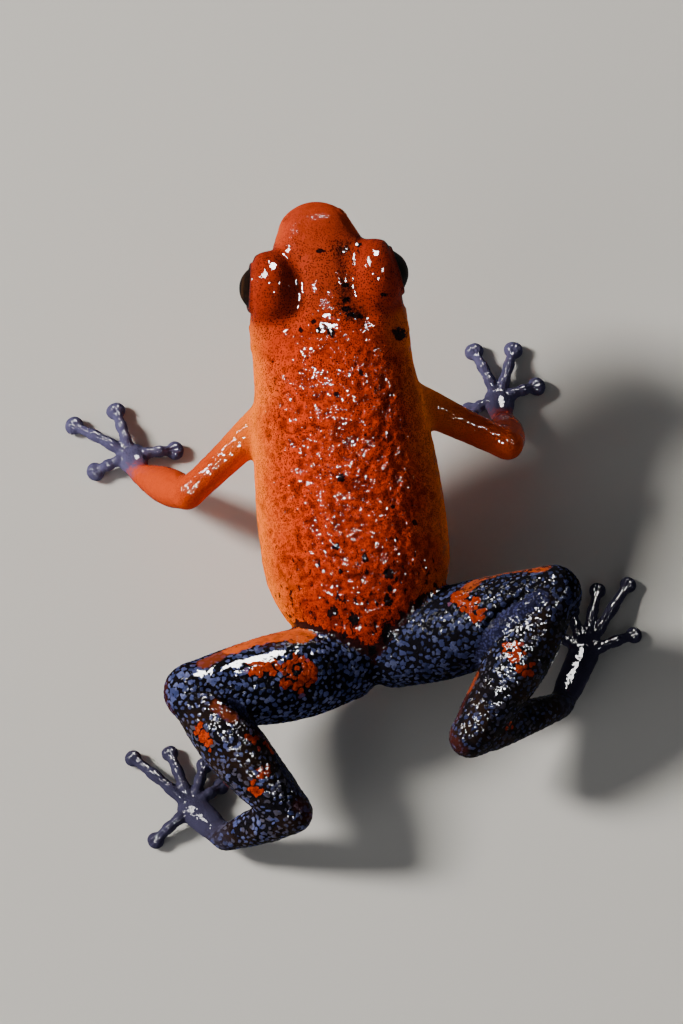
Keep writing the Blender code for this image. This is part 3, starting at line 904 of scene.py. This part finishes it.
# Sleek strips as (stops, half width).
SLEEK = (
    (((7.1, 8.15, 5.8), (5.5, 7.6, 5.5), (4.1, 7.3, 5.2), (3.0, 7.3, 5.0)), 1.05),
    (((-4.5, 6.05, 5.45), (-6.1, 5.4, 5.3), (-7.9, 5.7, 5.9)), 0.7),
)
sleek = np.zeros(len(points))
for stops, reach in SLEEK:
    sleek = np.maximum(sleek, fade(reach, 0.6 * reach, near_line(points, stops)))

seed_tree = tree_of(shaken[seeds])
owner = np.zeros(len(points), np.int32)
inner = np.full(len(points), 1.5)             # 0 at a bead's middle, about 0.4 at its edge
for point, i in zip(shaken, beaded):
    _, owner[i], inner[i] = seed_tree.find(point)
size_of = rng.uniform(0.6, 1.15, len(seeds))
tint_of = rng.uniform(0, 1, len(seeds))
inner[beaded] /= BEAD_SPACING * size_of[owner[beaded]]
bead = np.clip(1 - (inner / 0.5) ** 2, 0, 1) ** 0.8
lift = LIFT * bead * on_leg * (1 - on_hand) + 0.003 * pebbles * np.maximum(on_leg, on_arm)
lift *= 1 - MELTED * sleek
points = points + outward_normals(points) * lift[:, None]
print("bead height, mm: %.3f at most" % lift.max())

# %% [markdown]
# The frog stands on small flats: whatever would sink through the floor is laid flat on it.

# %% Stand it on the floor
points[:, 2] = np.maximum(points[:, 2], 0.0)
in_frame = (points + SHIFT) * MM
skin_mesh.vertices.foreach_set("co", in_frame.astype(np.float32).ravel())
skin_mesh.update()
skin_mesh.shade_smooth()
skin_mesh.name = "frog_skin"
skin = bpy.data.objects.new("frog_skin", skin_mesh)
bpy.context.scene.collection.objects.link(skin)
print("skin, mm: low", np.round(points.min(axis=0), 2), "high", np.round(points.max(axis=0), 2))

# %% [markdown]
# The markings are places on the animal, so they are numbers at each point of the mesh, not a
# picture. A spot's number says how deep in it a point lies, and the shader makes its edge ragged.

# %% Where the markings lie
# Black spots on the back as (behind the snout, across, half length, half width).
SPOTS = (
    (6.09, -3.03, 0.3, 0.36), (5.67, 0.02, 0.22, 0.2), (5.42, 1.31, 0.13, 0.13),
    (5.51, 0.57, 0.16, 0.12), (7.61, -1.06, 0.18, 0.13), (8.4, 0.1, 0.14, 0.12),
    (5.14, 0.7, 0.1, 0.14), (4.75, -0.76, 0.14, 0.24), (5.0, -0.95, 0.12, 0.26),
    (4.36, -0.8, 0.12, 0.2), (3.71, -0.88, 0.11, 0.17), (5.11, -1.25, 0.15, 0.28),
    (4.35, -2.48, 0.12, 0.15), (2.02, -1.68, 0.12, 0.14), (2.09, 0.0, 0.1, 0.22),
    (12.07, 0.39, 0.22, 0.2), (15.03, 0.97, 0.15, 0.18), (15.66, -0.23, 0.22, 0.18),
    (16.45, -1.2, 0.26, 0.2), (17.1, -1.16, 0.12, 0.12), (17.62, -1.02, 0.32, 0.16),
    (17.84, 1.47, 0.24, 0.26), (18.26, 0.6, 0.3, 0.28), (17.98, -2.43, 0.22, 0.16),
    (19.1, -0.8, 0.6, 0.3), (19.5, -1.1, 0.5, 0.22), (19.67, -0.05, 0.34, 0.2),
    (18.9, 1.05, 0.18, 0.14), (16.1, 0.9, 0.12, 0.12), (13.6, -1.7, 0.12, 0.1),
    (14.4, -2.6, 0.14, 0.12), (10.3, -0.9, 0.1, 0.1), (18.7, -1.9, 0.26, 0.16),
)
# Dusky places on the head, where the stipple thickens, written the same way.
DUSKY = ((4.2, -0.75, 1.5, 0.55), (5.0, -1.0, 0.5, 0.8), (2.1, -0.9, 0.5, 0.6), (5.4, 0.3, 0.5, 0.6))


def deepest(depths):
    """The greatest of some depths, each 1 at a middle and 0 at an edge, and never under -1."""
    best = -1.0
    for depth in depths:
        best = np.maximum(best, depth)
    return best


def marks(ovals):
    """How deep points of the back lie in the nearest of some ovals."""
    depth = deepest(1 - np.hypot((distance - behind) / length, (across - out) / width)
                    for behind, out, length, width in ovals)
    return np.where((upness > 0.1) & (leg_edge < 0.2), depth, -1.0)


# Beaded orange patches on the legs as (x, y, z, radius).
BEADED = (
    (5.11, 8.5, 5.79, 0.45), (4.58, 8.55, 5.7, 0.45), (3.63, 8.64, 5.48, 0.5),
    (3.05, 8.7, 5.34, 0.5), (3.15, 8.5, 5.42, 0.45), (2.85, 9.1, 5.15, 0.42),
    (3.29, 9.45, 5.11, 0.42), (3.8, 9.2, 5.34, 0.42), (7.9, 10.89, 5.36, 0.34),
    (7.74, 11.32, 5.2, 0.36), (7.55, 11.7, 5.0, 0.24), (5.3, 12.95, 4.85, 0.36),
    (5.8, 13.25, 4.75, 0.22), (5.82, 13.7, 4.45, 0.3), (5.66, 11.5, 5.23, 0.3),
    (5.3, 11.7, 5.0, 0.34), (5.0, 11.9, 4.7, 0.26), (3.2, 8.4, 5.4, 0.3),
    (2.75, 8.85, 5.2, 0.34), (-4.08, 6.42, 5.56, 0.5), (-4.53, 6.94, 5.79, 0.45),
    (-4.8, 7.49, 5.81, 0.32), (-5.78, 9.04, 5.75, 0.38), (-6.03, 9.43, 5.84, 0.36),
    (-6.35, 9.3, 5.9, 0.34), (-6.18, 9.88, 5.76, 0.3), (-6.6, 10.1, 5.6, 0.34),
    (-5.6, 11.95, 3.69, 0.32), (5.7, 8.9, 2.6, 0.7), (-5.2, 8.2, 2.6, 0.7),
    (6.9, 12.9, 3.2, 0.5),
)
# Smooth stripes on the legs as (stops, half width).
STRIPES = {
    "orange_stripe": (
        (((6.0, 7.4, 5.2), (5.24, 7.1, 5.0), (4.7, 6.95, 4.9)), 0.5),
        (((4.7, 6.9, 4.85), (4.1, 6.8, 4.8), (3.5, 6.8, 4.75), (3.0, 6.95, 4.75)), 0.72),
        (((-4.5, 6.05, 5.45), (-5.2, 5.5, 5.1), (-6.1, 5.25, 5.2), (-7.0, 5.3, 5.45),
          (-7.93, 5.6, 5.85)), 0.36),
    ),
    "rust_stripe": (
        (((7.3, 8.0, 5.6), (6.7, 7.7, 5.45), (6.1, 7.4, 5.2)), 0.45),
        (((7.05, 10.06, 5.72), (6.73, 10.32, 5.66), (6.42, 10.61, 5.57)), 0.36),
        (((-4.35, 9.8, 4.6), (-4.05, 10.2, 4.5)), 0.34),
    ),
    "red_stripe": (
        (((5.45, 11.2, 4.9), (5.0, 11.55, 4.55), (4.7, 11.85, 4.2)), 0.36),
        (((-4.35, 9.8, 4.6), (-3.75, 10.6, 4.4), (-3.2, 11.4, 4.2)), 0.42),
        (((9.0, 8.7, 5.1), (8.95, 9.6, 4.7)), 0.5),
        (((3.9, 14.3, 3.85), (3.55, 14.8, 3.3)), 0.6),
        (((-3.0, 12.1, 3.9), (-3.4, 12.7, 3.9)), 0.55),
    ),
    "violet_stripe": (
        (((6.4, 9.85, 5.3), (5.83, 10.4, 5.07), (5.3, 11.0, 4.7)), 0.34),
        (((4.75, 12.3, 4.3), (4.3, 13.1, 4.1), (3.95, 13.6, 3.9)), 0.36),
        (((-4.6, 8.9, 4.1), (-4.95, 8.55, 5.1), (-5.5, 8.1, 5.65), (-6.1, 7.75, 5.9),
          (-6.8, 7.45, 6.0), (-7.6, 7.1, 6.1)), 0.44),
    ),
}
NAPE = (5.25, 0.05)          # where a round puddle of film lies

on_shank = on_leg * fade(-0.3, 0.3, nearest_of("thigh") - nearest_of("shank"))

# The arm takes on the colour of the flank towards the shoulder.
arm_share = np.where(across > 0, share_of["left_upper_arm"], share_of["right_upper_arm"])
arm_paint = fade(-0.25, 0.35, arm_edge) * (1 - on_leg) * fade(0.05, 0.75, arm_share)

# Film lies on the sides of the head and in the puddle, with drier skin round that and in front.
on_head = fade(7, 5, distance) * fade(1.0, 2.4, distance)
on_head *= 0.1 + 0.9 * fade(0.4, 1.2, np.abs(across))
from_nape = np.hypot(1.5 * (distance - NAPE[0]), across - NAPE[1])
puddle = fade(0.7, 0.45, from_nape) * (upness > 0)
dry = bell(from_nape - 1.2, 0.5) * (upness > 0) * (1 - puddle)
film = 0.3 * np.maximum.reduce([on_head, 0.5 * on_arm, on_hand, sleek, puddle])
film += 0.07 * on_shank - 0.12 * on_leg * (1 - on_shank) * (1 - sleek) - 0.05 * on_trunk
film -= 0.25 * dry + 0.15 * fade(1.8, 0.8, distance)
ruffle = (0.22 + 0.78 * fade(4, 9, distance)) * (1 - 0.5 * on_arm - 0.65 * on_hand)
ruffle *= (1 - 0.8 * sleek) * (1 - 0.75 * puddle)

seed_points = points[beaded[seeds]]
bead_orange = deepest(1 - np.linalg.norm(seed_points - place, axis=1) / radius
                      for *place, radius in BEADED)
readings = {
    "spot": marks(SPOTS),
    "dusk": 0.34 * np.clip(marks(DUSKY), 0, 1) ** 0.5,
    "leg_edge": leg_edge,
    "hand_edge": hand_edge,
    "arm": arm_paint,
    "inner": np.clip(inner, 0, 1.5),
    # Heights of the relief, for painted shade in its low places.
    "lumps": np.clip(0.5 + 0.06 * lumps + 0.15 * pebbles, 0, 1),
    "tint": tint_of[owner],
    "bead_orange": bead_orange[owner],
    "upness": upness,
    "brow": fade(0.35, -0.05, nearest_of("brow")),
    "behind": distance,
    "lid": np.clip(lid_edge, 0, 3),
    "feet": fade(2, 4, points[:, 1]),
    # Closeness to the mouth slit and the nostrils, where the shader paints shade.
    "lips": np.minimum(np.where(mouth_fade > 0.5, np.abs(lip), 1.0), 0.6 * to_nostril),
    "film": np.clip(film, -0.3, 0.3),
    "shank": on_shank,
    "ruffle": ruffle,
    # How far a point lies on the right leg, away from the light, where the shader paints shade.
    "far_leg": on_leg * fade(1, -1, across),
}
for name, lines in STRIPES.items():
    readings[name] = deepest(1 - near_line(points, stops) / radius for stops, radius in lines)
for name, values in readings.items():
    carried = skin_mesh.attributes.new(name, "FLOAT", "POINT")
    carried.data.foreach_set("value", values.astype(np.float32))
print("markings carried by the skin:", ", ".join(readings))

# %% [markdown]
# The skin is one material, built up as a painter would: orange ground, painted shade in the
# hollows of its relief, black stipple and spots, then the black legs with blue and orange beads,
# then lilac hands. A thin clear coat on top is the frog's moisture.

# %% Skin paint: trunk and arms
BACK_RED = (0.6, 0.04, 0.005, 1)
FLANK_ORANGE = (0.84, 0.155, 0.004, 1)
HEAD_RED = (0.4, 0.042, 0.014, 1)
BROW_RED = (0.29, 0.021, 0.006, 1)
ARM_ORANGE = (0.52, 0.052, 0.006, 1)
BELLY_ORANGE = (0.54, 0.115, 0.018, 1)
DEEP_RED = (0.12, 0.007, 0.002, 1)
BLACK = (0.004, 0.004, 0.005, 1)
SPECK_BROWN = (0.012, 0.007, 0.004, 1)
# Painted shade for the crevice where each lid meets its eyeball.
LID_CREVICE_SHADE = (0.02, 0.012, 0.014, 1)

p = Paintbox("moist_frog_skin")
behind, facing_up, dusk, leg_border = map(p.reading, ("behind", "upness", "dusk", "leg_edge"))
wander = p.cloud(1.6, 4)
ragged = p.minus(p.cloud(0.22, 4, 0.65), 0.5)
toward_back = p.step(p.plus(facing_up, p.times(wander, 0.5)), 0.42, 1.18)
# Where the back's grain mottle and the painted shade of its hollows lie, weaker towards the head.
mottle_and_shade_zone = p.times(toward_back, p.step(behind, 4.0, 9.0, 0.25, 1.0))
trunk = p.coats(p.blend(toward_back, FLANK_ORANGE, BACK_RED),
                (p.step(behind, 6.4, 3.6, 0, 0.9), HEAD_RED),
                (p.times(p.reading("brow"), 0.85), BROW_RED),
                (p.step(facing_up, -0.35, -0.9), BELLY_ORANGE),
                (p.reading("arm"), ARM_ORANGE),
                # painted shade in the hollows of the relief
                (p.times(p.step(p.reading("lumps"), 0.52, 0.22, 0, 0.75), mottle_and_shade_zone), DEEP_RED),
                (p.times(p.step(p.cloud(0.17, 3, 0.6), 0.48, 0.62, 0, 0.6), mottle_and_shade_zone), DEEP_RED),
                (p.step(wander, 0.54, 0.74, 0, 0.3), DEEP_RED),
                (p.times(p.step(behind, 13.0, 19.0, 0, 0.35), toward_back), DEEP_RED))

# Small black pores, wider where it is dusky and fainter on the snout, the rump and the flanks.
pore = p.step(p.minus(p.cells(0.088, 0.8), p.times(dusk, 0.4)), 0.5, 0.27)
peppered = p.times(p.step(behind, 18.0, 8.0, 0.7, 1.0), p.step(facing_up, -0.3, 0.7, 0.15, 1.0),
                   p.step(behind, 0.2, 2.4, 0.3, 1.0),
                   p.step(p.cloud(1.1, 4), 0.36, 0.6, 0.6, 1.0))

# Black streaks that run along the body, towards the vent and beside the thighs. Beside the thighs
# they are partly painted shade, where the rump meets the thigh.
streaks_and_groin_shade = p.plus(p.cloud(0.2, 3, 0.6, stretch=(1.0, 0.45, 0.6)),
                 p.step(behind, 12.5, 20.5, 0, 0.15), p.step(behind, 19.5, 20.6, 0, 0.3),
                 # painted shade in the groin, where the rump meets the thigh
                 p.times(p.step(leg_border, -0.5, -0.05, 0, 0.36), p.step(behind, 16.5, 18.5)))
streaks_and_groin_shade = p.times(p.step(streaks_and_groin_shade, 0.66, 0.74, 0, 0.95), p.step(facing_up, 0.0, 0.5))

specks = p.step(p.plus(p.cloud(0.13, 2, 0.6), dusk), 0.72, 0.86, 0, 0.85)
spots = p.step(p.plus(p.reading("spot"), p.times(ragged, 2.6)), 0.02, 0.2, 0, 0.97)
trunk = p.coats(trunk, (p.times(pore, peppered, 0.85), BLACK), (streaks_and_groin_shade, BLACK),
                (specks, SPECK_BROWN), (spots, BLACK),
                # painted shade in the mouth slit and the nostrils
                (p.step(p.reading("lips"), 0.1, 0.03, 0, 0.85), BLACK),
                # painted shade in the crevice between each lid and its eyeball
                (p.times(p.step(p.reading("lid"), 1.12, 1.02), 0.8), LID_CREVICE_SHADE))

# %% [markdown]
# The legs are black with a broken net of blue grains. A bead is blue unless its seed fell in an
# orange patch, so each bead has one colour, as on the animal. Noise eats into the beads and joins
# some of them. Smooth stripes of orange, rust, dark red and violet run along the edges. On the
# right leg, away from the light, the beads, gaps and orange stripe are darkened as painted shade.

# %% Skin paint: legs, hands and feet
LEG_BLACK = (0.005, 0.0045, 0.0065, 1)
SHANK_BROWN = (0.016, 0.009, 0.0065, 1)
SHANK_GREY = (0.06, 0.054, 0.078, 1)
BEAD_DIM = (0.026, 0.034, 0.105, 1)
BEAD_BLUE = (0.064, 0.078, 0.215, 1)
BEAD_PALE = (0.15, 0.17, 0.34, 1)
BEAD_ORANGE = (0.46, 0.04, 0.005, 1)
BEAD_RUST = (0.2, 0.018, 0.004, 1)
STRIPE_ORANGE = (0.66, 0.1, 0.01, 1)
RUST = (0.2, 0.036, 0.012, 1)
HEEL_RED = (0.06, 0.011, 0.008, 1)
FOLD_VIOLET = (0.032, 0.034, 0.105, 1)
HAND_LILAC = (0.078, 0.073, 0.15, 1)
FOOT_BLUE = (0.035, 0.033, 0.066, 1)
HAND_DARK = (0.022, 0.018, 0.036, 1)

# The right leg, away from the light, gets painted shade: its beads and gaps go blacker and its orange
# turns to rust.
shank, far_leg = p.reading("shank"), p.reading("far_leg")
blue_bead = p.coats(p.blend(p.step(p.reading("tint"), 0.1, 0.8), BEAD_DIM, BEAD_BLUE),
                    (p.step(p.cloud(0.4, 3), 0.48, 0.7, 0, 0.8), BEAD_PALE),
                    (p.times(shank, p.step(p.cloud(0.5, 3), 0.42, 0.58)), SHANK_GREY),
                    (p.times(far_leg, 0.5), LEG_BLACK))
orange_bead = p.coats(p.blend(p.step(p.cloud(0.16, 3), 0.4, 0.6), BEAD_RUST, BEAD_ORANGE),
                      (p.times(far_leg, 0.6), BEAD_RUST))
is_orange = p.step(p.reading("bead_orange"), 0.0, 0.12)
bead_size = p.plus(p.step(p.cloud(1.3, 3), 0.35, 0.65, 0.4, 0.56), p.times(ragged, 1.1),
                   p.times(shank, -0.05), p.times(is_orange, 0.26))
leg = p.coats(LEG_BLACK,
              (p.times(shank, p.step(wander, 0.4, 0.6)), SHANK_BROWN),
              (p.step(p.minus(bead_size, p.reading("inner")), -0.04, 0.06),
               p.blend(is_orange, blue_bead, orange_bead)))

gaps = p.plus(p.cloud(0.24, 3, 0.6), p.times(far_leg, 0.13))
orange = p.coats(STRIPE_ORANGE,
                 (p.times(far_leg, 0.65), RUST),
                 (p.step(p.cloud(0.5, 4, 0.65), 0.45, 0.64, 0, 0.65), RUST),
                 (p.step(gaps, 0.61, 0.69, 0, 0.8), LEG_BLACK))
violet = p.blend(p.times(p.step(p.cells(0.12, 0.9), 0.3, 0.55), 0.75), FOLD_VIOLET, LEG_BLACK)
soft_edge = p.times(p.minus(p.cloud(0.5, 4, 0.6), 0.5), 1.1)
# Each stripe as (reading, paint, how much it covers, how far its edge fades).
for name, over, cover, full in (("violet_stripe", violet, 0.9, 0.3), ("red_stripe", HEEL_RED, 0.55, 0.8),
                                ("rust_stripe", RUST, 0.85, 0.4), ("orange_stripe", orange, 0.97, 0.2)):
    leg = p.blend(p.step(p.plus(p.reading(name), soft_edge), 0.0, full, 0, cover), leg, over)

hand = p.coats(p.blend(p.reading("feet"), HAND_LILAC, FOOT_BLUE),
               (p.step(p.cloud(0.7, 4, 0.6), 0.5, 0.75, 0, 0.45), HAND_DARK))
hand_border = p.reading("hand_edge")
colour = p.coats(trunk, (p.step(p.plus(leg_border, p.times(ragged, 0.9)), -0.02, 0.08), leg),
                 (p.step(p.plus(hand_border, p.times(ragged, 1.2)), -0.4, 0.5), hand))

# %% [markdown]
# Wet skin has two layers: the skin, fairly dull, and a thin film of water. The film is broken
# into patches, and lies thicker on the head, the arms and the sleek strips. Its smooth swells are
# larger than the pores, so that each catches one small clean glint. They are calmer on the head,
# the limbs and in the puddle on the nape.

# %% Gloss and fine relief
film = p.step(p.plus(p.cloud(0.45, 2, 0.6), p.reading("film")), 0.47, 0.5, 0.04, 0.75)
pore_relief = p.bump(p.minus(1.0, pore), 0.012, 0.6)
p.shade({
    "Base Color": colour,
    "Roughness": p.step(p.cloud(0.35, 4), 0.25, 0.75, 0.32, 0.48),
    "Specular IOR Level": 0.0,
    "Coat Weight": p.times(film, p.step(hand_border, -0.1, 0.2, 1.0, 0.35)),
    "Coat Roughness": 0.04,
    "Coat IOR": 1.36,
    "Normal": p.bump(p.cloud(0.12, 2, 0.6), 0.025, 0.8, pore_relief),
    "Coat Normal": p.bump(p.cloud(0.46, 1.5, 0.5), 0.17, p.reading("ruffle")),
})
skin_mesh.materials.clear()
skin_mesh.materials.append(p.material)

# %% [markdown]
# The eyeballs stay pieces of their own. This frog's eye looks black, with an iris so dark that
# only a faint bronze ring tells where the pupil is. The front bulges a little as a cornea, and a
# very smooth coat gives the single clear glint.

# %% Eyes
CORNEA = 0.05                # how far the cornea stands off the ball
CORNEA_WIDTH = 0.62
PUPIL_LENGTH, PUPIL_HEIGHT = 0.92, 0.76

e = Paintbox("dark_wet_eye")
split = e.add("ShaderNodeSeparateXYZ", {0: e.place()})
sideways = e.sums("DIVIDE", split.outputs["X"], PUPIL_LENGTH / 2 * MM)
upright = e.sums("DIVIDE", split.outputs["Y"], PUPIL_HEIGHT / 2 * MM)
pupil = e.sums("SQRT", e.plus(e.times(sideways, sideways), e.times(upright, upright)))
wisps = e.cloud(0.16, 5, 0.7, 0.6)
ring = e.times(e.step(pupil, 0.92, 1.12), e.step(pupil, 1.6, 1.12), 0.2)
iris = e.blend(e.step(wisps, 0.35, 0.7), paint(14, 9, 7), paint(34, 19, 12))
e.shade({
    "Base Color": e.coats(iris, (ring, paint(110, 68, 36)), (e.step(pupil, 1.9, 2.5), paint(8, 7, 8)),
                          (e.step(pupil, 1.02, 0.96), paint(3, 3, 4))),
    "Roughness": e.step(wisps, 0.3, 0.8, 0.16, 0.24),
    "Specular IOR Level": 0.06,
    "Coat Weight": 0.6,
    "Coat Roughness": 0.02,
    "Coat IOR": 1.38,
})

for side, sign in SIDES.items():
    bpy.ops.mesh.primitive_uv_sphere_add(segments=96, ring_count=64, radius=EYE_RADIUS * MM)
    eyeball = bpy.context.object
    eyeball.name = side + "_eyeball"
    for vert in eyeball.data.vertices:
        if vert.co.z > 0:
            off_axis = math.hypot(vert.co.x, vert.co.y) / MM
            swell = math.exp(-(off_axis / CORNEA_WIDTH) ** 4)
            vert.co *= 1 + CORNEA / EYE_RADIUS * swell
    outward, backward, upward = eye_frame(sign)
    turn = Matrix(np.stack([sign * backward, upward, outward], axis=1).tolist())
    centre = Vector((on_side(EYE, sign) + SHIFT) * MM)
    eyeball.matrix_world = Matrix.Translation(centre) @ turn.to_4x4()
    eyeball.data.shade_smooth()
    eyeball.data.materials.append(e.material)
    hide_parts(side + "_eye")
    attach(eyeball, "root")

# %% [markdown]
# The skin stands for every flesh node of the frame, which stays underneath for collision.

# %% Hand over
flesh = [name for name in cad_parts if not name.endswith("_eye")]
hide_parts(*flesh)
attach(skin, "root")
